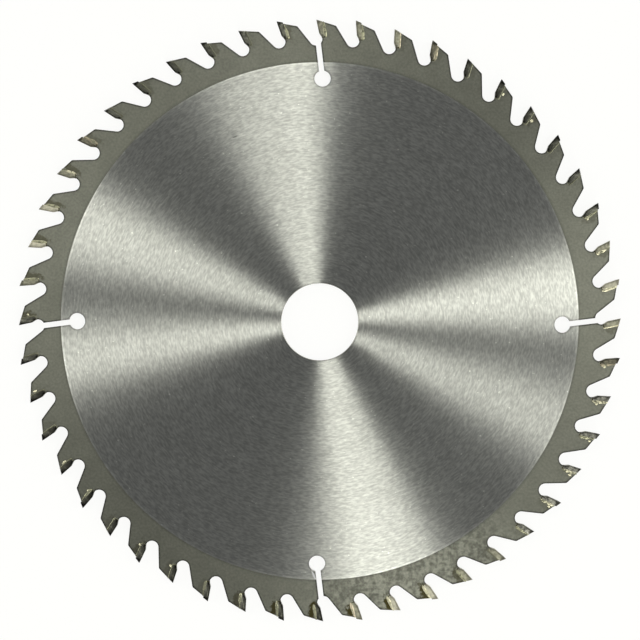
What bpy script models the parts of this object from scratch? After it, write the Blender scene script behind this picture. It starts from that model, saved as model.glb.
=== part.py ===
"""Carbide-tipped circular saw blade, 235 mm across, for a 30 mm arbor.

Metres, +Z up. The blade lies flat in the XY plane, with its origin at the middle of the bore and halfway
through the plate. Seen from +Z its teeth point anticlockwise, and tooth 0 has its cutting edge on the +X axis.
"""

import math

import bmesh
import bpy
from mathutils import Matrix, Vector

# Driving sizes of the steel plate, in metres and degrees.
BLADE_DIAMETER = 0.235
BORE_DIAMETER = 0.030
BORE_CHAMFER = 0.0002
PLATE_THICKNESS = 0.0018
TOOTH_COUNT = 48
GULLET_DEPTH = 0.0104
GULLET_RADIUS = 0.00255
SHOULDER_SETBACK = 0.00228
LAND_DROP = 0.00042
LAND_ANGLE = 18.0
BACK_ANGLE = 30.5
BACK_CORNER_RADIUS = 0.0010
SEAT_CORNER_RADIUS = 0.0008

# Driving sizes of a carbide tip.
KERF = 0.0028
HOOK_ANGLE = 11.0
TIP_THICKNESS = 0.0021
TIP_HEIGHT = 0.00705
NOSE_HEIGHT = 0.00165
NOSE_SETBACK = 0.00075
HEEL_CHAMFER = 0.0006
TOP_CLEARANCE = 16.0
TOP_BEVEL = 15.0
RADIAL_CLEARANCE = 1.5
TANGENTIAL_CLEARANCE = 2.0

# The braze fills this gap between a tip and its seat.
BRAZE_GAP = 0.0003

# Driving sizes of the keyhole expansion slots. Each runs in from the gullet ahead of its tooth. One of the
# four was cut a little further round than its even place.
SLOT_WIDTH = 0.00205
SLOT_LEAN = 6.2
SLOT_HOLE_DIAMETER = 0.0064
SLOT_HOLE_DEPTH = 0.0231
SLOT_SETBACK = 0.00217
SLOT_STRAYS = (0.0, 0.0, 0.47, 0.0)

# How round the round stretches are, in straight steps.
BORE_STEPS = 96
GULLET_STEPS = 12
CORNER_STEPS = 4
SLOT_HOLE_STEPS = 24

# Cutters and blanks reach this far past the surface that they cut, or that is ground off them.
OVERRUN = 0.001

# Points this close are one point, a point this close to a cutting plane lies on it, and an edge that turns by
# more than this angle is sharp.
MERGE_DISTANCE = 1e-7
CUT_TOLERANCE = 1e-8
SHARP_ANGLE = 30.0

# Worked out from the driving sizes.
TIP_RADIUS = BLADE_DIAMETER / 2
BORE_RADIUS = BORE_DIAMETER / 2
PITCH = math.tau / TOOTH_COUNT
ROOT_RADIUS = TIP_RADIUS - GULLET_DEPTH
SEAT_DEPTH = TIP_HEIGHT + BRAZE_GAP
SEAT_BACK = TIP_THICKNESS + BRAZE_GAP
HOOK = math.radians(HOOK_ANGLE)


def clear_scene():
    for obj in list(bpy.data.objects):
        bpy.data.objects.remove(obj, do_unlink=True)


def metal(name, colour, roughness):
    material = bpy.data.materials.new(name)
    material.use_nodes = True
    shader = material.node_tree.nodes["Principled BSDF"]
    shader.inputs["Base Color"].default_value = (*colour, 1.0)
    shader.inputs["Metallic"].default_value = 1.0
    shader.inputs["Roughness"].default_value = roughness
    return material


def turned(point, angle):
    """A point of the XY plane, turned anticlockwise about the bore."""
    return Matrix.Rotation(angle, 2) @ point


def heading(angle):
    """The direction at an angle from +X, in the XY plane."""
    return Vector((math.cos(angle), math.sin(angle)))


def from_edge(behind, depth):
    """The point this far behind tooth 0's cutting edge, and this far in from the tip circle."""
    return Vector((TIP_RADIUS - depth, -behind))


def behind_face(depth, back):
    """How far behind the cutting edge a line lies at some depth, if it runs parallel to the tooth's face."""
    return depth * math.tan(HOOK) + back / math.cos(HOOK)


def crossing(point_a, along_a, point_b, along_b):
    """Where two lines meet, each given by a point and a direction."""
    reach = (point_b - point_a).cross(along_b) / along_a.cross(along_b)
    return point_a + along_a * reach


def arc(middle, start, end, steps):
    """Points from start to end, the short way round a middle."""
    spoke = start - middle
    last = end - middle
    sweep = math.atan2(spoke.cross(last), spoke.dot(last))
    return [middle + turned(spoke, sweep * step / steps) for step in range(steps + 1)]


def rounded(before, corner, after, radius):
    """The arc that rounds the corner between two straight lines."""
    to_before = (before - corner).normalized()
    to_after = (after - corner).normalized()
    half = to_before.angle(to_after) / 2
    middle = corner + (to_before + to_after).normalized() * (radius / math.sin(half))
    reach = radius / math.tan(half)
    return arc(middle, corner + to_before * reach, corner + to_after * reach, CORNER_STEPS)


def gullet_middle():
    """The middle of the round gullet ahead of tooth 0."""
    behind = SHOULDER_SETBACK - GULLET_RADIUS
    return Vector((math.sqrt((ROOT_RADIUS + GULLET_RADIUS) ** 2 - behind**2), -behind))


def gullet_end():
    """Where the round gullet ends below tooth 0's tip: level with its middle, or at the seat if that is lower."""
    middle = gullet_middle()
    rise = min(0.0, TIP_RADIUS - SEAT_DEPTH - middle.x)
    return middle + Vector((rise, -math.sqrt(GULLET_RADIUS**2 - rise**2)))


def tooth_outline():
    """Tooth 0 and the gullet behind it, clockwise from the shoulder under the tip to the next tooth's."""
    shoulder = from_edge(-gullet_end().y, SEAT_DEPTH)
    seat_corner = from_edge(behind_face(SEAT_DEPTH, SEAT_BACK), SEAT_DEPTH)
    land_start = from_edge(0.0, LAND_DROP)
    along_land = heading(-math.pi / 2 - math.radians(LAND_ANGLE))
    seat_top = crossing(seat_corner, heading(HOOK), land_start, along_land)
    middle = turned(gullet_middle(), -PITCH)
    along_back = heading(math.radians(BACK_ANGLE))
    back_foot = middle - turned(along_back, -math.pi / 2) * GULLET_RADIUS
    back_corner = crossing(land_start, along_land, back_foot, along_back)
    outline = [shoulder]
    outline += rounded(shoulder, seat_corner, seat_top, SEAT_CORNER_RADIUS)
    outline += [seat_top]
    outline += rounded(seat_top, back_corner, back_foot, BACK_CORNER_RADIUS)
    outline += arc(middle, back_foot, turned(gullet_end(), -PITCH), GULLET_STEPS)
    return outline


def plate_outline():
    tooth = tooth_outline()
    return [turned(point, -number * PITCH) for number in range(TOOTH_COUNT) for point in tooth]


def prism(outline, low, high):
    """A straight-sided solid on an outline of the XY plane, from one height to another."""
    shape = bmesh.new()
    floor = [shape.verts.new((point.x, point.y, low)) for point in outline]
    face = shape.faces.new(floor)
    raised = bmesh.ops.extrude_face_region(shape, geom=[face])
    roof = [item for item in raised["geom"] if isinstance(item, bmesh.types.BMVert)]
    bmesh.ops.translate(shape, verts=roof, vec=(0.0, 0.0, high - low))
    bmesh.ops.remove_doubles(shape, verts=shape.verts, dist=MERGE_DISTANCE)
    bmesh.ops.recalc_face_normals(shape, faces=shape.faces)
    return shape


def finished_mesh(name, shape, material):
    """A Blender mesh from a bmesh, smooth on its round stretches and sharp at its edges."""
    mesh = bpy.data.meshes.new(name)
    shape.to_mesh(mesh)
    shape.free()
    mesh.materials.append(material)
    mesh.shade_smooth()
    mesh.set_sharp_from_angle(angle=math.radians(SHARP_ANGLE))
    return mesh


def placed(name, mesh, parent=None):
    obj = bpy.data.objects.new(name, mesh)
    bpy.context.scene.collection.objects.link(obj)
    obj.parent = parent
    return obj


def cut(target, cutter):
    """Cuts one object out of another with a Boolean, and hides the cutter."""
    cutter.hide_render = True
    cutter.display_type = "WIRE"
    cutter.parent = target
    boolean = target.modifiers.new(cutter.name, "BOOLEAN")
    boolean.operation = "DIFFERENCE"
    boolean.solver = "EXACT"
    boolean.object = cutter


def bore_cutter(material):
    """A turned plug with the bore's radius, flared where it meets the plate's two faces."""
    face = PLATE_THICKNESS / 2
    flare = BORE_CHAMFER + OVERRUN
    profile = (
        (BORE_RADIUS + flare, -face - OVERRUN),
        (BORE_RADIUS, -face + BORE_CHAMFER),
        (BORE_RADIUS, face - BORE_CHAMFER),
        (BORE_RADIUS + flare, face + OVERRUN),
    )
    shape = bmesh.new()
    rings = []
    for radius, height in profile:
        ring = []
        for step in range(BORE_STEPS):
            rim = heading(math.tau * step / BORE_STEPS) * radius
            ring.append(shape.verts.new((rim.x, rim.y, height)))
        rings.append(ring)
    for lower, upper in zip(rings, rings[1:]):
        for step in range(BORE_STEPS):
            after = (step + 1) % BORE_STEPS
            shape.faces.new((lower[step], lower[after], upper[after], upper[step]))
    shape.faces.new(rings[0])
    shape.faces.new(rings[-1])
    bmesh.ops.recalc_face_normals(shape, faces=shape.faces)
    return placed("bore_cutter", finished_mesh("bore_cutter", shape, material))


def slot_outline(tooth_angle):
    """A keyhole: a round hole in the plate, and a leaning slot from it out into the gullet ahead of a tooth."""
    hole_radius = SLOT_HOLE_DIAMETER / 2
    hole_middle = from_edge(SLOT_SETBACK, SLOT_HOLE_DEPTH)
    outwards = heading(math.radians(SLOT_LEAN))
    sideways = turned(outwards, math.pi / 2)
    mouth = hole_middle + outwards * (gullet_middle().x - hole_middle.x)
    half_width = SLOT_WIDTH / 2
    neck = math.asin(half_width / hole_radius)
    sweep = math.tau - 2 * neck
    outline = [mouth - sideways * half_width, mouth + sideways * half_width]
    for step in range(SLOT_HOLE_STEPS + 1):
        spoke = turned(outwards, neck + sweep * step / SLOT_HOLE_STEPS)
        outline.append(hole_middle + spoke * hole_radius)
    return [turned(point, tooth_angle) for point in outline]


def slot_cutters(material):
    """One keyhole cutter for each expansion slot, in the gullets that lie most evenly round the plate."""
    cutters = []
    reach = PLATE_THICKNESS / 2 + OVERRUN
    for number, stray in enumerate(SLOT_STRAYS):
        tooth = round(number * TOOTH_COUNT / len(SLOT_STRAYS))
        name = f"slot_cutter_{number + 1}"
        shape = prism(slot_outline(tooth * PITCH + math.radians(stray)), -reach, reach)
        cutters.append(placed(name, finished_mesh(name, shape, material)))
    return cutters


def blade_plate(material):
    """The one-piece steel plate: teeth with open seats for the tips, gullets, bore and expansion slots."""
    shape = prism(plate_outline(), -PLATE_THICKNESS / 2, PLATE_THICKNESS / 2)
    plate = placed("blade_plate", finished_mesh("blade_plate", shape, material))
    cut(plate, bore_cutter(material))
    for cutter in slot_cutters(material):
        cut(plate, cutter)
    return plate


def ground_off(shape, point, outwards):
    """Removes what stands past a plane, and closes the flat that this leaves."""
    every = list(shape.verts) + list(shape.edges) + list(shape.faces)
    result = bmesh.ops.bisect_plane(
        shape, geom=every, dist=CUT_TOLERANCE, plane_co=point, plane_no=outwards, clear_outer=True
    )
    edges = [item for item in result["geom_cut"] if isinstance(item, bmesh.types.BMEdge)]
    bmesh.ops.holes_fill(shape, edges=edges)


def tip_mesh(name, high_side, material):
    """A carbide tip in tooth 0's seat. Its top is ground down across the kerf from its high side, +1 or -1 in Z."""
    top = -OVERRUN
    nose = TIP_HEIGHT - NOSE_HEIGHT
    heel = TIP_HEIGHT - HEEL_CHAMFER
    blank = (
        from_edge(behind_face(top, 0.0), top),
        from_edge(behind_face(nose, 0.0), nose),
        from_edge(behind_face(TIP_HEIGHT, 0.0) + NOSE_SETBACK, TIP_HEIGHT),
        from_edge(behind_face(TIP_HEIGHT, TIP_THICKNESS) - HEEL_CHAMFER, TIP_HEIGHT),
        from_edge(behind_face(heel, TIP_THICKNESS), heel),
        from_edge(behind_face(top, TIP_THICKNESS), top),
    )
    reach = KERF / 2 + OVERRUN
    shape = prism(blank, -reach, reach)
    radial = math.tan(math.radians(RADIAL_CLEARANCE))
    tangential = math.tan(math.radians(TANGENTIAL_CLEARANCE))
    for side in (-1, 1):
        corner = Vector((TIP_RADIUS, 0.0, side * KERF / 2))
        ground_off(shape, corner, Vector((-radial, -tangential, side)).normalized())
    high_corner = Vector((TIP_RADIUS, 0.0, high_side * KERF / 2))
    along_top = heading(-math.pi / 2 - math.radians(TOP_CLEARANCE)).to_3d()
    across = Vector((-math.tan(math.radians(TOP_BEVEL)), 0.0, -high_side))
    ground_off(shape, high_corner, across.cross(along_top).normalized() * -high_side)
    return finished_mesh(name, shape, material)


def carbide_tips(plate, material):
    """A tip in each seat, with its top bevelled to the two sides of the kerf by turns."""
    meshes = (tip_mesh("tip_high_below", -1, material), tip_mesh("tip_high_above", 1, material))
    for number in range(TOOTH_COUNT):
        tip = placed(f"carbide_tip_{number + 1:02d}", meshes[number % len(meshes)], plate)
        tip.rotation_euler.z = number * PITCH


def main():
    clear_scene()
    steel = metal("ground_tool_steel", (0.50, 0.50, 0.47), 0.35)
    carbide = metal("tungsten_carbide", (0.16, 0.16, 0.15), 0.40)
    plate = blade_plate(steel)
    carbide_tips(plate, carbide)


main()
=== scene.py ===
"""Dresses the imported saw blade: ground and blasted steel, carbide, brazed joints, light and camera."""

import math
import random

import bpy
from bpy.props import FloatProperty, FloatVectorProperty, IntProperty, PointerProperty
from mathutils import Matrix, Vector


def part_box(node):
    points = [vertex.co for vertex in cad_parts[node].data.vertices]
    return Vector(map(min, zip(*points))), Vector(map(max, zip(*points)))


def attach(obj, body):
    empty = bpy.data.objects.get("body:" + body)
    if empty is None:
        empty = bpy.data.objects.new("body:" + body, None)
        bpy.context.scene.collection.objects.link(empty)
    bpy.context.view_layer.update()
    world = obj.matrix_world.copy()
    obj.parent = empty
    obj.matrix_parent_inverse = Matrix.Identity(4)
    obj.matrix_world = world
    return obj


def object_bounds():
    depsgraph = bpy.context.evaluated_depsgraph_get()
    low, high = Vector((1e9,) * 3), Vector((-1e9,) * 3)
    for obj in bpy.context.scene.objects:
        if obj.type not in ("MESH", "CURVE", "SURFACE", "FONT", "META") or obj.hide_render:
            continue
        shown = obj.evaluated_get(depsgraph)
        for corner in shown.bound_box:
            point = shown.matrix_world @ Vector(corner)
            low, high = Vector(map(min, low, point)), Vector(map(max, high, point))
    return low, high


bl_info = {
    "name": "Circular Saw Blade Finish",
    "version": (1, 0, 0),
    "blender": (4, 5, 0),
    "location": "3D View > Sidebar > Saw Blade",
    "description": "Finishes a carbide-tipped saw blade and sets up its studio",
    "category": "Object",
}

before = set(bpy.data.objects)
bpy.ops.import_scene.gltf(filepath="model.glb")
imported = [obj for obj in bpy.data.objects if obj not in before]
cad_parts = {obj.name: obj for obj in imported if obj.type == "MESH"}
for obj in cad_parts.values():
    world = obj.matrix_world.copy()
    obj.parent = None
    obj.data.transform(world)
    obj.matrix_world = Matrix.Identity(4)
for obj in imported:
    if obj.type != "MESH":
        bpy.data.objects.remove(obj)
CAD_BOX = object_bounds()

PLATE = "blade_plate"
TIPS = sorted(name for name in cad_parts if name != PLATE)
TOOTH_COUNT = len(TIPS)
PITCH = math.tau / TOOTH_COUNT
TIP_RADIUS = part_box(TIPS[0])[1].x
PLATE_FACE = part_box(PLATE)[1].z
HOOK = math.radians(11.0)
HEEL_LEAN = math.radians(38.7)

# What the photograph shows of single teeth, counted from 0 at the blade's right and on to the left: tips by
# finish, joints by the width of their beads, and joints by finish. The pale and filmed tips also carry a
# painted highlight, and the tips in no list carry painted shade.
PALE_TIPS_PAINTED_HIGHLIGHT = (1, 21, 22, 38, 39)
FILMED_TIPS_PAINTED_HIGHLIGHT = (0, 2, 10, 11, 12, 20, 23, 37, 40, 41)
SPOTTED_TIPS = (42, 43, 44, 45, 46)
BROWNED_TIPS = (9, 19, 47)
PLAIN_TIPS = (3, 4, 13, 14, 18, 24, 25, 31, 33, 34)
BAND_JOINTS = (1, 9, 12, 19, 20, 21, 22, 23, 35, 36, 37, 38, 39, 40, 43, 44, 46)
FOOT_JOINTS = (2, 3, 11, 13, 29, 33, 34, 42, 45, 47)
# The bright joints face the lamps, and their clean braze is partly a painted highlight.
BRIGHT_JOINTS = (0, 1, 38, 39)
STREAKED_JOINTS = (2, 20, 43, 44, 46)
WARM_JOINTS = (10, 37)
TAN_JOINTS = (9, 19, 47)
FLUXED_JOINTS = (3, 29, 33, 34, 35)

# Stretches of teeth where heat has browned the steel, and one that it has frosted. Teeth below 0 count back
# from the blade's right. Each has a middle, how far from it full strength reaches, where it ends, and how
# strong it is.
STAINS = ((-11.0, 1.5, 5.0, 1.0), (22.5, 2.0, 4.5, 0.6), (-17.0, 0.4, 1.2, 0.5))
FROST = (-9.4, 1.8, 3.6, 0.34)

# Painted light and shade on stretches of the rim: middle, full and end as above, and the shade.
PAINTED_RIM_LIGHT_AND_SHADE = ((6.0, 2.5, 5.5, 1.09), (22.0, 1.5, 4.0, 0.94), (-13.0, 1.0, 3.0, 0.94))

# Places on a tooth: how far behind its edge and below it their middles lie, and half their width and depth.
STAIN_PLACE = (0.0042, 0.0040, 0.0014, 0.0036)
SEAT_PLACE = (0.0033, 0.0049, 0.0013, 0.0034)

# Drops of braze on the upper face: tooth, distance behind its edge and depth, in metres, and how far each
# has run lengthways and sideways, where 1 is a round drop.
DROPS = (
    (3, 0.0041, 0.0062, 1.0, 1.0),
    (6, 0.0043, 0.0043, 1.3, 1.3),
    (7, 0.0040, 0.0043, 1.5, 0.8),
    (24, 0.0042, 0.0041, 0.9, 0.9),
    (26, 0.0040, 0.0035, 1.9, 0.7),
    (28, 0.0038, 0.0039, 2.2, 0.8),
    (29, 0.0041, 0.0058, 1.0, 1.0),
    (31, 0.0042, 0.0059, 0.9, 0.8),
    (32, 0.0042, 0.0060, 1.0, 1.0),
    (43, 0.0041, 0.0029, 1.3, 0.9),
    (44, 0.0043, 0.0034, 1.3, 1.0),
    (45, 0.0040, 0.0028, 1.2, 0.9),
    (46, 0.0043, 0.0053, 1.2, 1.0),
    (47, 0.0042, 0.0054, 1.2, 1.0),
)

# Nicks on the disc, with painted glints where their shade is above 1: x and y, the turn of the long side in
# radians, half the length and width, and the shade. Lengths are in metres. The last is a burr whose
# brightness is a painted highlight.
NICKS_AND_GLINTS = (
    (0.0311, -0.0218, 0.0, 0.0004, 0.0004, 1.5),
    (-0.0266, -0.0572, 0.0, 0.0005, 0.0004, 1.35),
    (0.0182, 0.0251, 0.0, 0.0004, 0.0004, 1.6),
    (0.0541, 0.0505, 0.0, 0.0005, 0.0004, 1.6),
    (-0.0589, -0.0275, 0.0, 0.0005, 0.0004, 1.35),
    (-0.0108, 0.0432, 0.25, 0.0016, 0.0003, 1.4),
    (-0.0321, 0.0722, 0.42, 0.0011, 0.0003, 0.6),
    (-0.0036, -0.0987, -1.19, 0.0022, 0.0004, 3.0),
)


def linear(code):
    """An sRGB hex colour as linear red, green and blue."""
    values = [int(code[place : place + 2], 16) / 255 for place in (1, 3, 5)]
    return tuple(v / 12.92 if v <= 0.04045 else ((v + 0.055) / 1.055) ** 2.4 for v in values)


def length(name, description, default):
    """A size in metres that a user may change."""
    return FloatProperty(name=name, description=description, default=default, unit="LENGTH", precision=5)


def swatch(name, description, code):
    """A colour that a user may change."""
    return FloatVectorProperty(
        name=name, description=description, default=linear(code), subtype="COLOR", min=0.0, max=1.0
    )


class SawBladeSizes(bpy.types.PropertyGroup):
    """Sizes of the finish and of the brazed joints."""

    ground_radius: length("Ground disc radius", "Where the bright ground disc ends", 0.10065)
    stroke_length: length("Grinding stroke length", "How long one grinding mark shows", 0.0021)
    stroke_width: length("Grinding stroke width", "How wide one grinding mark shows", 0.00062)
    pit_size: length("Pit size", "How coarse the bright pits of the disc are", 0.0012)
    cloud_size: length("Disc cloud size", "Width of the faint clouds on the disc", 0.0042)
    dent_size: length("Blasting dent size", "How wide one dent of the rim shows", 0.0009)
    patch_size: length("Rim patch size", "Width of the faint patches of the rim", 0.0077)
    smudge_size: length("Smudge size", "Width of the smudges of heat and flux", 0.0017)
    rib_size: length("Cut rib size", "How far the ribs of a cut wall lie apart", 0.0004)
    spot_size: length("Spot size", "Width of the spots on tips and braze", 0.0013)
    edge_width: length("Edge tint width", "How far the dark tint of a cut edge reaches", 0.0012)
    tip_edge_width: length("Tip edge tint width", "How far the dark tint of a cutting edge reaches", 0.0013)
    joint_back: length("Joint to tip", "How far behind its edge a tip's back lies", 0.00214)
    joint_gap: length("Joint gap", "Thickness of the braze between tip and seat", 0.0003)
    joint_start: length("Joint start", "Depth at which a joint begins", 0.00125)
    joint_end: length("Joint end", "Depth at which a joint meets the floor of its seat", 0.0072)
    bead_width: length("Bead width", "Width of the braze that shows on a face", 0.0013)
    bead_height: length("Bead height", "How high the widest bead stands on the steel", 0.0004)
    drop_radius: length("Drop radius", "Size of a drop of braze on a face", 0.00048)
    bead_shift: length("Bead shift", "How far a bead lies off its joint, over the steel", 0.00006)


class SawBladeColours(bpy.types.PropertyGroup):
    """Colours of the metals."""

    ground: swatch("Ground steel", "The bright disc", "#C5C6BE")
    blasted: swatch("Blasted steel", "The matt rim", "#8E8F82")
    cut: swatch("Cut edge", "Walls of gullets, slots and bore", "#8C8C84")
    # Also painted shade, on the tips that lie between the lamps.
    dark_carbide_painted_shade: swatch("Dark carbide", "Tips under a skin of flux", "#6E6E62")
    plain_carbide: swatch("Plain carbide", "Clean ground tips", "#8E8E80")
    spotted_carbide: swatch("Spotted carbide", "Tips with spots of braze on their flanks", "#A3A294")
    browned_carbide: swatch("Browned carbide", "Tips that heat has browned", "#918D79")
    # These two also carry a painted highlight, on the tips that face the lamps.
    filmed_carbide_painted_highlight: swatch("Filmed carbide", "Tips with a thin film of braze on their flanks", "#A6A48E")
    pale_carbide_painted_highlight: swatch("Wetted carbide", "Tips with braze all over their flanks", "#C9C5AE")
    braze: swatch("Braze", "The filler metal", "#ECE7C6")
    warm_braze: swatch("Copper-rich braze", "The filler metal where it ran hot", "#DACEB2")
    tan_braze: swatch("Tan braze", "The filler metal where heat has browned it", "#AAA188")
    half_braze: swatch("Half clean braze", "The filler metal where flux has dulled it", "#AFAE90")
    dull_braze: swatch("Fluxed braze", "The filler metal under a skin of flux", "#7E7E69")
    stain: swatch("Flux stain", "Browned steel beside a joint", "#4A452A")


class SawBladeStudio(bpy.types.PropertyGroup):
    """Floor, light and camera."""

    floor_size: length("Floor size", "Side of the square floor", 6.0)
    camera_distance: length("Camera distance", "From the middle of the blade", 0.6)
    focal_length: FloatProperty(
        name="Focal length", description="On a sensor 36 mm wide", default=86.66, unit="CAMERA"
    )
    light_level: FloatProperty(
        name="Light level", description="Brightness of all lamps together", default=1.0, subtype="FACTOR"
    )
    seed: IntProperty(name="Seed", description="Chooses how the brazed joints vary", default=7)
    lamps: swatch("Lamps", "The light of the soft boxes", "#FFFFFA")
    card: swatch("Card", "The floor where it takes shadow", "#F3F3F2")
    glow: swatch("Glow", "The floor as the camera sees it", "#FFFFFD")
    horizon: swatch("Horizon", "The studio's pale lower walls", "#FFFFFF")
    dim_ceiling: swatch("Dim ceiling", "The ceiling's dark side", "#272729")
    lit_ceiling: swatch("Lit ceiling", "The ceiling's light side", "#949597")


# Settings that many nodes share.
SMOOTH = {"interpolation_type": "SMOOTHSTEP"}
TIMES = {"operation": "MULTIPLY"}
PLUS = {"operation": "ADD"}
MINUS = {"operation": "SUBTRACT"}
LARGER = {"operation": "MAXIMUM"}
SIZE_OF = {"operation": "ABSOLUTE"}
LENGTH = {"operation": "LENGTH"}
BLEND = {"data_type": "RGBA"}
TINT = {"data_type": "RGBA", "blend_type": "MULTIPLY"}

# Sockets of a node that mixes colours.
SHARE, FIRST, SECOND = 0, 6, 7
MIXED = 2


def add(tree, kind, inputs=(), **settings):
    """Adds a node. Its inputs come in order or by name, and each is a plain value, a node or a socket."""
    node = tree.nodes.new(kind)
    for name, value in settings.items():
        setattr(node, name, value)
    pairs = inputs.items() if isinstance(inputs, dict) else enumerate(inputs)
    for key, value in pairs:
        if isinstance(value, bpy.types.Node):
            value = value.outputs[0]
        if isinstance(value, bpy.types.NodeSocket):
            tree.links.new(value, node.inputs[key])
        else:
            node.inputs[key].default_value = value
    return node


def new_material(name):
    """A material without nodes, and its tree."""
    material = bpy.data.materials.new(name)
    material.use_nodes = True
    material.node_tree.nodes.clear()
    return material, material.node_tree


def rgba(value):
    """A colour that nothing shows through."""
    return (*value, 1.0)


def tooth_grid(tree):
    """Sockets for a point's place on the blade and on its tooth, and a random number for each tooth.

    Turn is the angle counted in teeth. Behind and depth are measured from the tooth's cutting edge, and
    setback from its leaning face.
    """
    place = add(tree, "ShaderNodeTexCoord").outputs["Object"]
    split = add(tree, "ShaderNodeSeparateXYZ", (place,))
    x, y, height = split.outputs
    flat = add(tree, "ShaderNodeCombineXYZ", (x, y))
    radius = add(tree, "ShaderNodeVectorMath", (flat,), **LENGTH).outputs["Value"]
    angle = add(tree, "ShaderNodeMath", (y, x), operation="ARCTAN2")
    turn = add(tree, "ShaderNodeMath", (angle, 1 / PITCH), **TIMES)
    number = add(tree, "ShaderNodeMath", (turn,), operation="CEIL")
    rest = add(tree, "ShaderNodeMath", (number, turn), **MINUS)
    angle_behind = add(tree, "ShaderNodeMath", (rest, PITCH), **TIMES)
    sine = add(tree, "ShaderNodeMath", (angle_behind,), operation="SINE")
    cosine = add(tree, "ShaderNodeMath", (angle_behind,), operation="COSINE")
    behind = add(tree, "ShaderNodeMath", (radius, sine), **TIMES)
    reach = add(tree, "ShaderNodeMath", (radius, cosine), **TIMES)
    depth = add(tree, "ShaderNodeMath", (TIP_RADIUS, reach), **MINUS)
    lean = add(tree, "ShaderNodeMath", (depth, math.tan(HOOK)), **TIMES)
    setback = add(tree, "ShaderNodeMath", (behind, lean), **MINUS)
    chance = add(tree, "ShaderNodeTexWhiteNoise", {"W": number}, noise_dimensions="1D")
    return {
        "place": place,
        "x": x,
        "y": y,
        "height": height,
        "radius": radius,
        "turn": turn,
        "number": number,
        "behind": behind,
        "depth": depth,
        "setback": setback,
        "chance": chance,
    }


def from_place(tree, grid, behind, depth, half_width, half_depth):
    """How far a point lies from a place on its tooth, where 1 is the rim of an ellipse."""
    across = add(tree, "ShaderNodeMath", (grid["behind"], behind), **MINUS)
    inwards = add(tree, "ShaderNodeMath", (grid["depth"], depth), **MINUS)
    offset = add(tree, "ShaderNodeCombineXYZ", (across, inwards))
    scaled = add(tree, "ShaderNodeVectorMath", (offset, (1 / half_width, 1 / half_depth, 0)), **TIMES)
    return add(tree, "ShaderNodeVectorMath", (scaled,), **LENGTH).outputs["Value"]


def along_stretch(tree, place, middle, full, end, inside, outside):
    """A value that holds inside a stretch of teeth and eases to another outside it."""
    apart = add(tree, "ShaderNodeMath", (place, middle), **MINUS)
    apart = add(tree, "ShaderNodeMath", (apart,), **SIZE_OF)
    return add(tree, "ShaderNodeMapRange", (apart, full, end, inside, outside), **SMOOTH)


def edge_tint(tree, width):
    """1 at a sharp edge of the piece, and 0 from half an edge width inwards."""
    inputs = {"Distance": width}
    inside = add(tree, "ShaderNodeAmbientOcclusion", inputs, samples=8, inside=True, only_local=True)
    return add(tree, "ShaderNodeMapRange", (inside.outputs["AO"], 0.60, 0.85, 1.0, 0.0), **SMOOTH)


# Roughness of a face, and how far its marks stretch what it mirrors, from 0 to 1.
DISC_GLOSS = (0.36, 1.0)
RIM_GLOSS = (0.5, 0.54)
FLANK_GLOSS = (0.42, 0.7)

# The tangent runs in circles. Gloss stretches along it, and a quarter of a turn sends it along the radius.
QUARTER_TURN = 0.25


def circle_ground(tree, base, normal, roughness, anisotropy):
    """Metal ground in circles about the blade's axis, which stretches each light along the radius."""
    tangent = add(tree, "ShaderNodeTangent", direction_type="RADIAL", axis="Z")
    inputs = {
        "Base Color": base,
        "Metallic": 1.0,
        "Roughness": roughness,
        "Anisotropic": anisotropy,
        "Anisotropic Rotation": QUARTER_TURN,
        "Normal": normal,
        "Tangent": tangent,
    }
    return add(tree, "ShaderNodeBsdfPrincipled", inputs)


def grinding_marks(tree, sizes, grid):
    """The strokes of the wheel along circles, as a height and as a shade.

    The real strokes are 0.02 mm wide and some millimetres long. They are drawn as wide as they need to show,
    and so are the pits that grit has left, whose brightness is a painted glint. Among them run fainter
    rings, eight times as long.
    """
    along, across = 1 / sizes.stroke_length, 1 / sizes.stroke_width
    polar = add(tree, "ShaderNodeCombineXYZ", (grid["x"], grid["y"], grid["radius"]))
    strokes_at = add(tree, "ShaderNodeVectorMath", (polar, (along, along, across)), **TIMES)
    rings_at = add(tree, "ShaderNodeVectorMath", (polar, (along / 8, along / 8, across * 0.7)), **TIMES)
    strokes = add(tree, "ShaderNodeTexNoise", {"Vector": strokes_at, "Scale": 1.0, "Detail": 2.0})
    rings = add(tree, "ShaderNodeTexNoise", {"Vector": rings_at, "Scale": 1.0, "Detail": 1.0})
    clouds = add(tree, "ShaderNodeTexNoise", {"Vector": grid["place"], "Scale": 1 / sizes.cloud_size})
    shade = add(tree, "ShaderNodeMapRange", (strokes, 0.25, 0.75, 0.78, 1.20), **SMOOTH)
    for noise in (rings, clouds):
        faint = add(tree, "ShaderNodeMapRange", (noise, 0.25, 0.75, 0.96, 1.04), **SMOOTH)
        shade = add(tree, "ShaderNodeMath", (shade, faint), **TIMES)
    # Painted glint: the pits are coloured brighter in place of the lamps they reflect.
    pits = add(tree, "ShaderNodeTexNoise", {"Vector": grid["place"], "Scale": 1 / sizes.pit_size})
    painted_pit_glint = add(tree, "ShaderNodeMapRange", (pits, 0.69, 0.76, 1.0, 1.5), **SMOOTH)
    shade = add(tree, "ShaderNodeMath", (shade, painted_pit_glint), **TIMES)
    return strokes, shade


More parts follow.
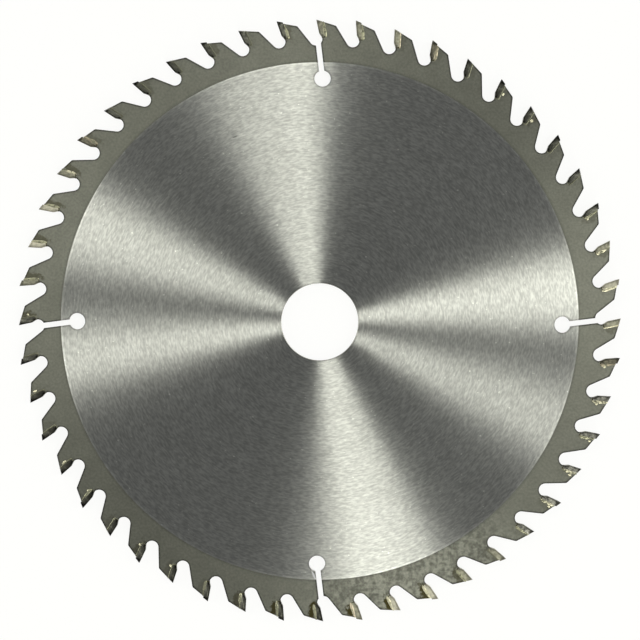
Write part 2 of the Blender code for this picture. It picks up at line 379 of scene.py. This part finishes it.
def nicked_with_glints(tree, grid, shade):
    """A shade with the few nicks that the disc has picked up, and painted glints on them."""
    for x, y, angle, half_length, half_width, factor in NICKS_AND_GLINTS:
        offset = add(tree, "ShaderNodeVectorMath", (grid["place"], (x, y, PLATE_FACE)), **MINUS)
        inputs = {"Vector": offset, "Angle": -angle}
        turned = add(tree, "ShaderNodeVectorRotate", inputs, rotation_type="Z_AXIS")
        scale = (1 / half_length, 1 / half_width, 1 / half_width)
        scaled = add(tree, "ShaderNodeVectorMath", (turned, scale), **TIMES)
        away = add(tree, "ShaderNodeVectorMath", (scaled,), **LENGTH).outputs["Value"]
        # A real nick, with a painted glint where its shade is above 1.
        nick_and_glint = add(tree, "ShaderNodeMapRange", (away, 0.5, 1.2, factor, 1.0), **SMOOTH)
        shade = add(tree, "ShaderNodeMath", (shade, nick_and_glint), **TIMES)
    return shade


def ground_disc(tree, sizes, colours, grid, edge):
    """The ground disc. A painted highlight brightens a narrow band just inside where its circles end."""
    end = sizes.ground_radius
    strokes, shade = grinding_marks(tree, sizes, grid)
    shade = nicked_with_glints(tree, grid, shade)
    # Painted highlight: a bright band just inside the disc's edge.
    painted_highlight_band = add(tree, "ShaderNodeMapRange", (grid["radius"], end - 0.0009, end - 0.0003, 1.0, 1.24), **SMOOTH)
    outline = add(tree, "ShaderNodeMapRange", (edge, 0.0, 1.0, 1.0, 0.56))
    for part in (painted_highlight_band, outline):
        shade = add(tree, "ShaderNodeMath", (shade, part), **TIMES)
    inputs = {SHARE: 1.0, FIRST: rgba(colours.ground), SECOND: shade}
    colour = add(tree, "ShaderNodeMix", inputs, **TINT).outputs[MIXED]
    bump = add(tree, "ShaderNodeBump", {"Strength": 1.0, "Distance": 0.00003, "Height": strokes})
    return circle_ground(tree, colour, bump, *DISC_GLOSS)


def heat_stain(tree, grid, smudge):
    """How much heat has browned the steel behind each tip: a little, and more along the stains."""
    amount = add(tree, "ShaderNodeMapRange", (grid["chance"], 0.3, 1.0, 0.06, 0.36), **SMOOTH)
    for stain in STAINS:
        hot = along_stretch(tree, grid["number"], *stain, 0.0)
        amount = add(tree, "ShaderNodeMath", (amount, hot), **LARGER)
    ragged = add(tree, "ShaderNodeMapRange", (smudge, 0.2, 0.8, -0.6, 0.6), **SMOOTH)
    away = from_place(tree, grid, *STAIN_PLACE)
    away = add(tree, "ShaderNodeMath", (away, ragged), **PLUS)
    near = add(tree, "ShaderNodeMapRange", (away, 0.65, 1.35, 1.0, 0.0), **SMOOTH)
    return add(tree, "ShaderNodeMath", (near, amount), **TIMES)


def blasted_rim(tree, sizes, colours, grid, edge):
    """The blasted rim. Its dents are really 0.1 mm wide and are drawn as wide as they need to show."""
    end = sizes.ground_radius
    dents = add(tree, "ShaderNodeTexNoise", {"Vector": grid["place"], "Scale": 1 / sizes.dent_size})
    patches = add(tree, "ShaderNodeTexNoise", {"Vector": grid["place"], "Scale": 1 / sizes.patch_size})
    smudge = add(tree, "ShaderNodeTexNoise", {"Vector": grid["place"], "Scale": 1 / sizes.smudge_size})
    shade = add(tree, "ShaderNodeMapRange", (dents, 0.25, 0.75, 0.89, 1.11), **SMOOTH)
    patched = add(tree, "ShaderNodeMapRange", (patches, 0.25, 0.75, 0.95, 1.05), **SMOOTH)
    # Painted shade: a dark line just outside the ground disc.
    line = (grid["radius"], end + 0.0003, end + 0.0011, 0.82, 1.0)
    painted_shade_line = add(tree, "ShaderNodeMapRange", line, **SMOOTH)
    outline = add(tree, "ShaderNodeMapRange", (edge, 0.0, 1.0, 1.0, 0.2))

    # One stretch of the rim has been frosted by heat and flux.
    frosted = along_stretch(tree, grid["turn"], *FROST, 0.0)
    ripple = add(tree, "ShaderNodeMapRange", (smudge, 0.3, 0.7, -1.0, 1.0), **SMOOTH)
    frost = add(tree, "ShaderNodeMath", (frosted, ripple, 1.0), operation="MULTIPLY_ADD")
    # Painted light and shade: stretches of the rim made lighter or darker.
    painted_rim_light = [along_stretch(tree, grid["turn"], *stretch, 1.0) for stretch in PAINTED_RIM_LIGHT_AND_SHADE]
    for part in (patched, painted_shade_line, outline, frost, *painted_rim_light):
        shade = add(tree, "ShaderNodeMath", (shade, part), **TIMES)
    inputs = {SHARE: 1.0, FIRST: rgba(colours.blasted), SECOND: shade}
    colour = add(tree, "ShaderNodeMix", inputs, **TINT).outputs[MIXED]
    stained = heat_stain(tree, grid, smudge)
    inputs = {SHARE: stained, FIRST: colour, SECOND: rgba(colours.stain)}
    colour = add(tree, "ShaderNodeMix", inputs, **BLEND).outputs[MIXED]
    bump = add(tree, "ShaderNodeBump", {"Strength": 0.6, "Distance": 0.00006, "Height": dents})
    return circle_ground(tree, colour, bump, *RIM_GLOSS)


def plate_steel(sizes, colours):
    """Hardened tool steel, surface ground in circles inside a glass-bead blasted rim, with laser-cut edges.

    The circles stretch each highlight along the radius, so lamps show as fans. The rim spreads them evenly.
    """
    material, tree = new_material("tool_steel_ground_and_blasted")
    grid = tooth_grid(tree)

    # Cut edges look darker, except along the seats, where braze has filled them.
    seat = from_place(tree, grid, *SEAT_PLACE)
    free = add(tree, "ShaderNodeMapRange", (seat, 0.8, 1.1, 0.0, 1.0), **SMOOTH)
    edge = add(tree, "ShaderNodeMath", (edge_tint(tree, sizes.edge_width), free), **TIMES)
    disc = ground_disc(tree, sizes, colours, grid, edge)
    rim = blasted_rim(tree, sizes, colours, grid, edge)

    # Laser-cut walls keep upright ribs some tenths of a millimetre apart.
    inputs = {"Vector": grid["place"], "Scale": 1 / sizes.rib_size, "Detail": 1.0}
    ribs = add(tree, "ShaderNodeTexNoise", inputs)
    shade = add(tree, "ShaderNodeMapRange", (ribs, 0.25, 0.75, 0.8, 1.15), **SMOOTH)
    inputs = {SHARE: 1.0, FIRST: rgba(colours.cut), SECOND: shade}
    colour = add(tree, "ShaderNodeMix", inputs, **TINT).outputs[MIXED]
    cut = add(tree, "ShaderNodeBsdfPrincipled", {"Base Color": colour, "Metallic": 1.0, "Roughness": 0.5})

    end = sizes.ground_radius
    beyond = add(tree, "ShaderNodeMapRange", (grid["radius"], end - 0.00008, end + 0.00008), **SMOOTH)
    face = add(tree, "ShaderNodeMixShader", (beyond, disc, rim))
    off_middle = add(tree, "ShaderNodeMath", (grid["height"],), **SIZE_OF)
    low, high = PLATE_FACE - 0.00004, PLATE_FACE - 0.00001
    on_face = add(tree, "ShaderNodeMapRange", (off_middle, low, high), **SMOOTH)
    whole = add(tree, "ShaderNodeMixShader", (on_face, cut, face))
    add(tree, "ShaderNodeOutputMaterial", (whole,))
    return material


def sintered_carbide(name, base, sizes, metallic, mottle, edge_shade):
    """Tungsten carbide in cobalt, sintered and then ground: dense, and dark along its cutting edges.

    Mottle is how strongly grime has spotted the flank. A film of braze and flux makes it less metallic, and
    the lighter finishes also carry a painted highlight in their colour.
    """
    material, tree = new_material(name)
    grid = tooth_grid(tree)
    inputs = {"Vector": grid["place"], "Scale": 1 / sizes.spot_size, "Detail": 3.0}
    grains = add(tree, "ShaderNodeTexNoise", inputs)
    shade = add(tree, "ShaderNodeMapRange", (grains, 0.35, 0.65, 1.0 - mottle, 1.0 + mottle), **SMOOTH)
    tip_shade = add(tree, "ShaderNodeMapRange", (grid["chance"], 0.0, 1.0, 0.85, 1.15))
    front = add(tree, "ShaderNodeMapRange", (grid["setback"], 0.0011, 0.0017, 1.0, 0.0), **SMOOTH)
    top = add(tree, "ShaderNodeMapRange", (grid["depth"], 0.0009, 0.0015, 1.0, 0.0), **SMOOTH)
    outside = add(tree, "ShaderNodeMath", (front, top), **LARGER)
    edge = add(tree, "ShaderNodeMath", (edge_tint(tree, sizes.tip_edge_width), outside), **TIMES)
    outline = add(tree, "ShaderNodeMapRange", (edge, 0.0, 1.0, 1.0, edge_shade))
    for part in (tip_shade, outline):
        shade = add(tree, "ShaderNodeMath", (shade, part), **TIMES)
    inputs = {SHARE: 1.0, FIRST: rgba(base), SECOND: shade}
    colour = add(tree, "ShaderNodeMix", inputs, **TINT).outputs[MIXED]
    bump = add(tree, "ShaderNodeBump", {"Strength": 0.5, "Distance": 0.00006, "Height": grains})
    shader = circle_ground(tree, colour, bump, *FLANK_GLOSS)
    shader.inputs["Metallic"].default_value = metallic
    add(tree, "ShaderNodeOutputMaterial", (shader,))
    return material


def silver_braze(name, base, flux_colour, seam_colour, clean, sizes):
    """Silver-bearing brass filler, melted and set: half bright, under a thin blotched skin of flux.

    Clean is how high the flow noise may be before flux covers it. Its seams with the steel stay dark.
    """
    material, tree = new_material(name)
    grid = tooth_grid(tree)
    inputs = {"Vector": grid["place"], "Scale": 1 / sizes.spot_size, "Detail": 3.0}
    flow = add(tree, "ShaderNodeTexNoise", inputs)
    joint_shade = add(tree, "ShaderNodeMapRange", (grid["chance"], 0.0, 1.0, 0.85, 1.05))
    off_middle = add(tree, "ShaderNodeMath", (grid["height"],), **SIZE_OF)
    low, high = PLATE_FACE + 0.00002, PLATE_FACE + 0.00014
    seam = add(tree, "ShaderNodeMapRange", (off_middle, low, high, 1.0, 0.0), **SMOOTH)
    covered = clean + 0.12
    flux = add(tree, "ShaderNodeMapRange", (flow, clean, covered), **SMOOTH)
    inputs = {SHARE: flux, FIRST: rgba(base), SECOND: rgba(flux_colour)}
    colour = add(tree, "ShaderNodeMix", inputs, **BLEND).outputs[MIXED]
    inputs = {SHARE: seam, FIRST: colour, SECOND: rgba(seam_colour)}
    colour = add(tree, "ShaderNodeMix", inputs, **BLEND).outputs[MIXED]
    inputs = {SHARE: 1.0, FIRST: colour, SECOND: joint_shade}
    colour = add(tree, "ShaderNodeMix", inputs, **TINT).outputs[MIXED]
    bump = add(tree, "ShaderNodeBump", {"Strength": 0.6, "Distance": 0.0001, "Height": flow})
    rough = add(tree, "ShaderNodeMapRange", (flow, clean, covered, 0.42, 0.65), **SMOOTH)
    inputs = {"Base Color": colour, "Metallic": 0.65, "Roughness": rough, "Normal": bump}
    shader = add(tree, "ShaderNodeBsdfPrincipled", inputs)
    add(tree, "ShaderNodeOutputMaterial", (shader,))
    return material


# Points this close are one point, the points of a copy stray this far, and an edge that turns further than
# this angle is sharp.
MERGE_DISTANCE = 0.000001
UNEVENNESS = 0.00005
SHARP_ANGLE = math.radians(50)


def only(obj):
    """Leaves one object selected and active."""
    bpy.ops.object.select_all(action="DESELECT")
    obj.select_set(True)
    bpy.context.view_layer.objects.active = obj


def close(obj):
    """Merges an object's doubled vertices and turns all its faces outwards."""
    only(obj)
    bpy.ops.object.mode_set(mode="EDIT")
    bpy.ops.mesh.select_all(action="SELECT")
    bpy.ops.mesh.remove_doubles(threshold=MERGE_DISTANCE)
    bpy.ops.mesh.normals_make_consistent(inside=False)
    bpy.ops.object.mode_set(mode="OBJECT")


def behind_face(depth, back):
    """How far behind tooth 0's edge a line lies at some depth, parallel to its face."""
    return depth * math.tan(HOOK) + back


# Widths along a bead from the tooth's top to the foot of its tip, as shares of the full width.
BAND = (0.45, 0.7, 0.9, 1.0, 1.0, 1.0, 1.05, 1.1, 1.05, 0.9, 0.65, 0.35)
FOOT = (0.3, 0.4, 0.4, 0.5, 0.65, 0.95, 1.1, 0.95, 0.85, 1.0, 0.85, 0.4)
THIN = (0.3, 0.4, 0.45, 0.4, 0.45, 0.5, 0.45, 0.4, 0.45, 0.5, 0.4, 0.3)


def model_bead(sizes, widths):
    """One bead of braze along the joint of tooth 0, on the upper face, drawn out of a flattened ring."""
    middle = sizes.joint_back + sizes.joint_gap / 2 + sizes.bead_shift
    start = Vector((TIP_RADIUS - sizes.joint_start, -behind_face(sizes.joint_start, middle), PLATE_FACE))
    end = Vector((TIP_RADIUS - sizes.joint_end, -behind_face(sizes.joint_end, middle), PLATE_FACE))
    bpy.ops.object.select_all(action="DESELECT")
    radius = sizes.bead_width / 2
    upright = (0, math.pi / 2, 0)
    bpy.ops.mesh.primitive_circle_add(
        vertices=16, radius=radius, fill_type="NGON", location=start, rotation=upright
    )
    bead = bpy.context.object
    bead.rotation_euler.z = HOOK
    bpy.ops.object.transform_apply(location=True, rotation=True, scale=True)
    bpy.ops.object.mode_set(mode="EDIT")
    bpy.ops.mesh.select_all(action="SELECT")
    flatness = sizes.bead_height / radius
    bpy.ops.transform.resize(value=(1, widths[0], widths[0] * flatness), center_override=start)
    stride = (end - start) / (len(widths) - 1)
    for step in range(1, len(widths)):
        ratio = widths[step] / widths[step - 1]
        bpy.ops.mesh.extrude_region_move(TRANSFORM_OT_translate={"value": stride})
        bpy.ops.transform.resize(value=(1, ratio, ratio), center_override=start + stride * step)
    bpy.ops.object.mode_set(mode="OBJECT")
    close(bead)
    return bead


def filler_box(behind, depth, turn, long, thick):
    """A block of braze through the plate. Its middle lies behind tooth 0's edge and below it."""
    place = Vector((TIP_RADIUS - depth, -behind, 0.0))
    bpy.ops.object.select_all(action="DESELECT")
    bpy.ops.mesh.primitive_cube_add(size=1.0, location=place, rotation=(0, 0, turn))
    box = bpy.context.object
    box.scale = (long, thick, 2 * PLATE_FACE)
    bpy.ops.object.transform_apply(location=True, rotation=True, scale=True)
    return box


# The vertices of a joint are numbered by their distance from this point, which lies to one side of it.
COUNTING_POINT = (0.1131, 0.0093, 0.0172)


def number_vertices(obj):
    """Numbers an object's vertices, edges and faces, because a union leaves them in a new order each run."""
    bpy.context.scene.cursor.location = COUNTING_POINT
    only(obj)
    bpy.ops.object.mode_set(mode="EDIT")
    bpy.ops.mesh.select_all(action="SELECT")
    bpy.ops.mesh.sort_elements(type="CURSOR_DISTANCE", elements={"VERT", "EDGE", "FACE"})
    bpy.ops.object.mode_set(mode="OBJECT")


def join(first, *others):
    """Unites pieces into the first one."""
    for other in others:
        union = first.modifiers.new("union", "BOOLEAN")
        union.operation = "UNION"
        union.solver = "EXACT"
        union.object = other
        only(first)
        bpy.ops.object.modifier_apply(modifier=union.name)
        bpy.data.objects.remove(other, do_unlink=True)
    number_vertices(first)
    close(first)
    return first


# The blocks that fill a seat round the tip's heel and under its foot: how far the middle lies behind tooth
# 0's edge and below it, then turn, length and thickness.
HEEL_BLOCK = (0.00332, 0.00689, -HEEL_LEAN, 0.00095, 0.00042)
FOOT_BLOCK = (0.00262, 0.0072, math.pi / 2, 0.00105, 0.00033)


def model_filler(sizes):
    """The thin wall of braze between tip and seat: behind the tip, round its heel and under its foot."""
    middle = sizes.joint_back + sizes.joint_gap / 2
    depth = (sizes.joint_start + sizes.joint_end) / 2
    long = (sizes.joint_end - sizes.joint_start) / math.cos(HOOK)
    thick = sizes.joint_gap * 1.1
    wall = filler_box(behind_face(depth, middle), depth, HOOK, long, thick)
    return join(wall, filler_box(*HEEL_BLOCK), filler_box(*FOOT_BLOCK))


# A drop's foot lies this deep in the steel. Its rings rise by the first number and shrink by the second.
DROP_SUNK = 0.00003
DROP_RINGS = ((0.00012, 0.94), (0.00010, 0.82), (0.00006, 0.66), (0.00002, 0.45))


def model_drop(sizes):
    """A drop of braze that has set on the upper face of tooth 0, raised ring by ring."""
    foot = Vector((TIP_RADIUS, 0.0, PLATE_FACE - DROP_SUNK))
    bpy.ops.object.select_all(action="DESELECT")
    bpy.ops.mesh.primitive_circle_add(
        vertices=14, radius=sizes.drop_radius, fill_type="NGON", location=foot
    )
    drop = bpy.context.object
    bpy.ops.object.transform_apply(location=True, rotation=True, scale=True)
    bpy.ops.object.mode_set(mode="EDIT")
    bpy.ops.mesh.select_all(action="SELECT")
    rise = 0.0
    for height, ratio in DROP_RINGS:
        rise += height
        bpy.ops.mesh.extrude_region_move(TRANSFORM_OT_translate={"value": (0, 0, height)})
        bpy.ops.transform.resize(value=(ratio, ratio, 1), center_override=foot + Vector((0, 0, rise)))
    bpy.ops.object.mode_set(mode="OBJECT")
    close(drop)
    drop.name = "braze_drop_pattern"
    return drop


def model_joint(sizes, widths):
    """Tooth 0's whole joint: a bead on each face and the filler between."""
    upper = model_bead(sizes, widths)
    only(upper)
    bpy.ops.object.duplicate()
    lower = bpy.context.object
    bpy.ops.object.mode_set(mode="EDIT")
    bpy.ops.mesh.select_all(action="SELECT")
    bpy.ops.transform.mirror(constraint_axis=(False, False, True), center_override=(0, 0, 0))
    bpy.ops.object.mode_set(mode="OBJECT")
    close(lower)
    filler = model_filler(sizes)
    joint = join(filler, upper, lower)
    joint.name = "braze_joint_pattern"
    return joint


def uneven_copy(pattern, name, material, seed, place):
    """A copy of a pattern with a mesh of its own, a little uneven, put in its place on the blade."""
    piece = pattern.copy()
    piece.data = pattern.data.copy()
    piece.name = name
    piece.data.materials.clear()
    piece.data.materials.append(material)
    bpy.context.collection.objects.link(piece)
    only(piece)
    bpy.ops.object.mode_set(mode="EDIT")
    bpy.ops.mesh.select_all(action="SELECT")
    bpy.ops.transform.vertex_random(offset=UNEVENNESS, seed=seed, normal=0.0)
    bpy.ops.object.mode_set(mode="OBJECT")
    piece.data.transform(place)
    bpy.ops.object.shade_smooth_by_angle(angle=SHARP_ANGLE)
    return piece


class SAWBLADE_OT_plate(bpy.types.Operator):
    """Give the plate its ground disc, blasted rim and cut edges"""

    bl_idname = "sawblade.plate"
    bl_label = "Finish Plate"

    def execute(self, context):
        scene = context.scene
        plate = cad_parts[PLATE]
        material = plate_steel(scene.saw_blade_sizes, scene.saw_blade_colours)
        for slot in plate.material_slots:
            slot.material = material
        return {"FINISHED"}


class SAWBLADE_OT_tips(bpy.types.Operator):
    """Give the tips their ground carbide"""

    bl_idname = "sawblade.tips"
    bl_label = "Finish Carbide Tips"

    def execute(self, context):
        scene = context.scene
        sizes, colours = scene.saw_blade_sizes, scene.saw_blade_colours
        # The dark finish, on tips in no list, is flux and painted shade.
        dark = sintered_carbide("tungsten_carbide_under_flux_painted_shade", colours.dark_carbide_painted_shade, sizes, 1.0, 0.15, 0.15)
        # The pale and filmed finishes are braze film and a painted highlight.
        kinds = (
            (PALE_TIPS_PAINTED_HIGHLIGHT, "tungsten_carbide_wetted_by_braze", colours.pale_carbide_painted_highlight, 0.35, 0.15, 0.45),
            (FILMED_TIPS_PAINTED_HIGHLIGHT, "tungsten_carbide_filmed_by_braze", colours.filmed_carbide_painted_highlight, 0.6, 0.22, 0.4),
            (SPOTTED_TIPS, "tungsten_carbide_spotted_by_flux", colours.spotted_carbide, 0.8, 0.6, 0.25),
            (BROWNED_TIPS, "tungsten_carbide_browned_by_heat", colours.browned_carbide, 0.9, 0.25, 0.25),
            (PLAIN_TIPS, "tungsten_carbide_ground", colours.plain_carbide, 1.0, 0.1, 0.15),
        )
        kinds = [(teeth, sintered_carbide(name, base, sizes, *rest)) for teeth, name, base, *rest in kinds]
        for number, name in enumerate(TIPS):
            material = next((kind for teeth, kind in kinds if number in teeth), dark)
            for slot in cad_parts[name].material_slots:
                slot.material = material
        return {"FINISHED"}


class SAWBLADE_OT_joints(bpy.types.Operator):
    """Model brazed joints with broad, spilled and thin beads, and copy them to the teeth"""

    bl_idname = "sawblade.joints"
    bl_label = "Braze Joints"

    def execute(self, context):
        scene = context.scene
        sizes, colours = scene.saw_blade_sizes, scene.saw_blade_colours
        half, flux, stain = colours.half_braze, colours.dull_braze, colours.stain
        # Braze with a painted highlight, for the joints that face the lamps.
        bright = silver_braze("silver_braze_melted_painted_highlight", colours.braze, half, stain, 0.5, sizes)
        warm = silver_braze("copper_rich_braze_melted", colours.warm_braze, half, stain, 0.5, sizes)
        tanned = silver_braze("copper_rich_braze_overheated", colours.tan_braze, flux, stain, 0.48, sizes)
        streaked = silver_braze("silver_braze_streaked_by_flux", colours.braze, flux, stain, 0.42, sizes)
        blotched = silver_braze("silver_braze_blotched_by_flux", half, flux, stain, 0.48, sizes)
        fluxed = silver_braze("silver_braze_mostly_under_flux", half, flux, stain, 0.4, sizes)
        dull = silver_braze("silver_braze_under_flux", flux, flux, flux, 0.62, sizes)
        kinds = (
            (BRIGHT_JOINTS, bright),
            (WARM_JOINTS, warm),
            (TAN_JOINTS, tanned),
            (STREAKED_JOINTS, streaked),
            (FLUXED_JOINTS, fluxed),
            (BAND_JOINTS + FOOT_JOINTS, blotched),
        )
        patterns = {widths: model_joint(sizes, widths) for widths in (BAND, FOOT, THIN)}
        chance = random.Random(scene.saw_blade_studio.seed)
        for number in range(TOOTH_COUNT):
            widths = BAND if number in BAND_JOINTS else FOOT if number in FOOT_JOINTS else THIN
            material = next((kind for teeth, kind in kinds if number in teeth), dull)
            name = f"braze_joint_{number + 1:02d}"
            place = Matrix.Rotation(number * PITCH, 4, "Z")
            joint = uneven_copy(patterns[widths], name, material, chance.randrange(9999), place)
            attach(joint, "root")
        for pattern in patterns.values():
            bpy.data.objects.remove(pattern, do_unlink=True)
        return {"FINISHED"}


class SAWBLADE_OT_drops(bpy.types.Operator):
    """Model one drop of braze and copy it beside the joints that spilled"""

    bl_idname = "sawblade.drops"
    bl_label = "Braze Drops"

    def execute(self, context):
        scene = context.scene
        sizes, colours = scene.saw_blade_sizes, scene.saw_blade_colours
        half = colours.half_braze
        material = silver_braze("silver_braze_spilled", colours.braze, half, half, 0.56, sizes)
        pattern = model_drop(sizes)
        chance = random.Random(scene.saw_blade_studio.seed)
        middle = Vector((TIP_RADIUS, 0.0, 0.0))
        for count, (number, behind, depth, along, across) in enumerate(DROPS, 1):
            name = f"braze_drop_{count:02d}"
            run = Matrix.Rotation(HOOK, 4, "Z") @ Matrix.Diagonal((along, across, 1.0, 1.0))
            place = Matrix.Translation(middle - Vector((depth, behind, 0.0)))
            place = Matrix.Rotation(number * PITCH, 4, "Z") @ (place @ run @ Matrix.Translation(-middle))
            drop = uneven_copy(pattern, name, material, chance.randrange(9999), place)
            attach(drop, "root")
        bpy.data.objects.remove(pattern, do_unlink=True)
        return {"FINISHED"}


# Upright soft boxes round the blade: azimuth and width, then the height angles of the lower and upper
# rim, all in degrees from the middle of the blade, then brightness.
SOFT_BOXES = (
    ("soft_box_front", 284.8, 20.2, 5.0, 50.6, 7.9),
    ("soft_box_front_right", 333.8, 13.0, 7.6, 49.0, 2.9),
    ("soft_box_right", 5.0, 16.2, 2.0, 48.0, 9.0),
    ("soft_box_back", 92.5, 7.5, 20.8, 62.0, 5.95),
    ("soft_box_back_low", 101.8, 18.4, 17.3, 35.6, 3.7),
    ("soft_box_back_left", 159.2, 17.4, 3.6, 48.0, 7.0),
    ("soft_box_left", 189.2, 10.2, 1.4, 30.8, 9.2),
)

# How far the soft boxes stand from the blade's axis, in metres.
BOX_DISTANCE = 1.15

# The ceiling brightens along this way between two shares of it. The pale walls fade out between two heights,
# where 1 is straight up.
BRIGHTER_WAY = (0.99, 0.14, 0.0)
CEILING_SHARES = (-0.8, 0.8)
WALL_TOPS = (0.17, 0.33)

# How much of the floor glows white for the camera. The rest is card that takes shadow.
GLOWING_SHARE = 0.93

# The photograph was taken from almost straight above, turned by two thirds of a degree. The camera aims less
# than a millimetre off the blade's middle, upwards and to the right in the picture.
CAMERA_WAY = (0.00149, 0.02459, 0.9997)
CAMERA_UP = (0.01166, 0.99993, 0.0)
AIM_UP = 0.00074
AIM_RIGHT = 0.00009


def soft_box(name, azimuth, width, low, high, brightness, light):
    """An upright rectangular lamp that faces the blade's axis."""
    lamp = bpy.data.lights.new(name, "AREA")
    lamp.shape = "RECTANGLE"
    foot = BOX_DISTANCE * math.tan(math.radians(low))
    head = BOX_DISTANCE * math.tan(math.radians(high))
    lamp.size = 2 * BOX_DISTANCE * math.tan(math.radians(width / 2))
    lamp.size_y = head - foot
    lamp.energy = brightness * math.pi * lamp.size * lamp.size_y
    lamp.color = light
    obj = bpy.data.objects.new(name, lamp)
    turn = math.radians(azimuth)
    way = Vector((math.cos(turn), math.sin(turn), 0.0))
    obj.location = way * BOX_DISTANCE + Vector((0, 0, (foot + head) / 2))
    obj.rotation_euler = way.to_track_quat("Z", "Y").to_euler()
    obj.visible_camera = False
    bpy.context.scene.collection.objects.link(obj)


def studio_world(studio):
    """A dim ceiling over a pale horizon."""
    world = bpy.data.worlds.new("studio")
    world.use_nodes = True
    tree = world.node_tree
    tree.nodes.clear()
    way = add(tree, "ShaderNodeTexCoord").outputs["Generated"]
    height = add(tree, "ShaderNodeSeparateXYZ", (way,)).outputs["Z"]
    side = add(tree, "ShaderNodeVectorMath", (way, BRIGHTER_WAY), operation="DOT_PRODUCT")
    slope = add(tree, "ShaderNodeMapRange", (side.outputs["Value"], *CEILING_SHARES))
    dim, lit = rgba(studio.dim_ceiling), rgba(studio.lit_ceiling)
    inputs = {SHARE: slope, FIRST: dim, SECOND: lit}
    ceiling = add(tree, "ShaderNodeMix", inputs, **BLEND).outputs[MIXED]
    rise = add(tree, "ShaderNodeMapRange", (height, *WALL_TOPS), **SMOOTH)
    inputs = {SHARE: rise, FIRST: rgba(studio.horizon), SECOND: ceiling}
    sky = add(tree, "ShaderNodeMix", inputs, **BLEND).outputs[MIXED]
    background = add(tree, "ShaderNodeBackground", (sky, 1.0))
    add(tree, "ShaderNodeOutputWorld", (background,))
    bpy.context.scene.world = world


def floor_paint(studio):
    """White matt card. Seen directly or in metal it glows white, and a little of it takes shadow."""
    material, tree = new_material("white_card_matt")
    rays = add(tree, "ShaderNodeLightPath").outputs
    seen = rays["Is Camera Ray"]
    for ray in ("Is Glossy Ray", "Is Transmission Ray"):
        seen = add(tree, "ShaderNodeMath", (seen, rays[ray]), **LARGER)
    share = add(tree, "ShaderNodeMath", (seen, GLOWING_SHARE), **TIMES)
    card = add(tree, "ShaderNodeBsdfDiffuse", (rgba(studio.card),))
    glow = add(tree, "ShaderNodeEmission", (rgba(studio.glow), 1.0))
    both = add(tree, "ShaderNodeMixShader", (share, card, glow))
    add(tree, "ShaderNodeOutputMaterial", (both,))
    return material


class SAWBLADE_OT_studio(bpy.types.Operator):
    """Lay the blade on a white floor under soft boxes, seen from above"""

    bl_idname = "sawblade.studio"
    bl_label = "Set Up Studio"

    def execute(self, context):
        scene = context.scene
        studio = scene.saw_blade_studio
        low = CAD_BOX[0][2]
        bpy.ops.object.select_all(action="DESELECT")
        bpy.ops.mesh.primitive_plane_add(size=studio.floor_size, location=(0, 0, low))
        floor = context.object
        floor.name = "floor"
        bpy.ops.object.transform_apply(location=True, rotation=True, scale=True)
        floor.data.materials.append(floor_paint(studio))
        studio_world(studio)
        for box in SOFT_BOXES:
            soft_box(*box[:-1], box[-1] * studio.light_level, studio.lamps)

        camera = bpy.data.cameras.new("camera")
        camera.sensor_width = 36.0
        camera.lens = studio.focal_length
        camera.clip_start = 0.01
        view = bpy.data.objects.new("camera", camera)
        scene.collection.objects.link(view)
        away = Vector(CAMERA_WAY).normalized()
        view.location = away * studio.camera_distance
        up = Vector(CAMERA_UP)
        right = up.cross(away).normalized()
        aim = up * AIM_UP + right * AIM_RIGHT
        back = (view.location - aim).normalized()
        right = up.cross(back).normalized()
        top = back.cross(right)
        turn = Matrix((right, top, back)).transposed()
        view.rotation_euler = turn.to_euler()
        scene.camera = view
        scene.view_settings.view_transform = "Standard"
        return {"FINISHED"}


class SAWBLADE_PT_sidebar(bpy.types.Panel):
    """Lists the steps in the order in which they are run"""

    bl_idname = "SAWBLADE_PT_sidebar"
    bl_label = "Saw Blade"
    bl_space_type = "VIEW_3D"
    bl_region_type = "UI"
    bl_category = "Saw Blade"

    def draw(self, context):
        scene = context.scene
        for group in (scene.saw_blade_sizes, scene.saw_blade_colours, scene.saw_blade_studio):
            box = self.layout.box()
            for name in group.__annotations__:
                box.prop(group, name)
        for step in STEPS:
            self.layout.operator(step.bl_idname)


GROUPS = (SawBladeSizes, SawBladeColours, SawBladeStudio)
STEPS = (SAWBLADE_OT_plate, SAWBLADE_OT_tips, SAWBLADE_OT_joints, SAWBLADE_OT_drops, SAWBLADE_OT_studio)
CLASSES = (*GROUPS, *STEPS, SAWBLADE_PT_sidebar)


def register():
    for one in CLASSES:
        bpy.utils.register_class(one)
    bpy.types.Scene.saw_blade_sizes = PointerProperty(type=SawBladeSizes)
    bpy.types.Scene.saw_blade_colours = PointerProperty(type=SawBladeColours)
    bpy.types.Scene.saw_blade_studio = PointerProperty(type=SawBladeStudio)


def unregister():
    del bpy.types.Scene.saw_blade_studio
    del bpy.types.Scene.saw_blade_colours
    del bpy.types.Scene.saw_blade_sizes
    for one in reversed(CLASSES):
        bpy.utils.unregister_class(one)


def main():
    register()
    bpy.ops.sawblade.plate()
    bpy.ops.sawblade.tips()
    bpy.ops.sawblade.joints()
    bpy.ops.sawblade.drops()
    bpy.ops.sawblade.studio()


if __name__ == "__main__":
    main()
